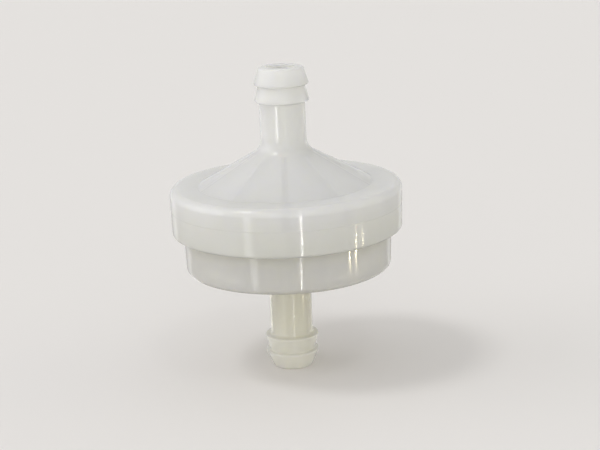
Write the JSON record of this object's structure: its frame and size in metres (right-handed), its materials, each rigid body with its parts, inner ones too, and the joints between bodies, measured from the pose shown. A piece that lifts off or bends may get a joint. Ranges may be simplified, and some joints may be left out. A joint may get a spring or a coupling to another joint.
{
  "type": "in-line fuel filter",
  "caption": "Round in-line fuel filter: translucent moulded housing with a cone and flange above a cup, barbed hose stems on one axis, and a mesh screen on a spoked ring inside.",
  "frame": {"origin": "on the axis of the stems, at the middle of the overall length from tip to tip", "axes": "+Z along the axis, from the cup's stem towards the cone's stem; the object is round about Z, and one of the ribs under the cone lies along -Y"},
  "size_m": [0.0336, 0.0336, 0.0446],
  "materials": {
    "cap_nylon": "translucent natural moulded nylon, cool milky white, semi-gloss",
    "bowl_nylon": "translucent natural moulded nylon, warmer ivory where the wall is single, semi-gloss",
    "frame_nylon": "natural moulded nylon",
    "screen_mesh": "fine plain-woven nylon monofilament"
  },
  "bodies": {
    "root": {"inlet_cap": "cap_nylon", "outlet_bowl": "bowl_nylon", "screen_frame": "frame_nylon", "filter_screen": "screen_mesh"}
  },
  "joints": []
}
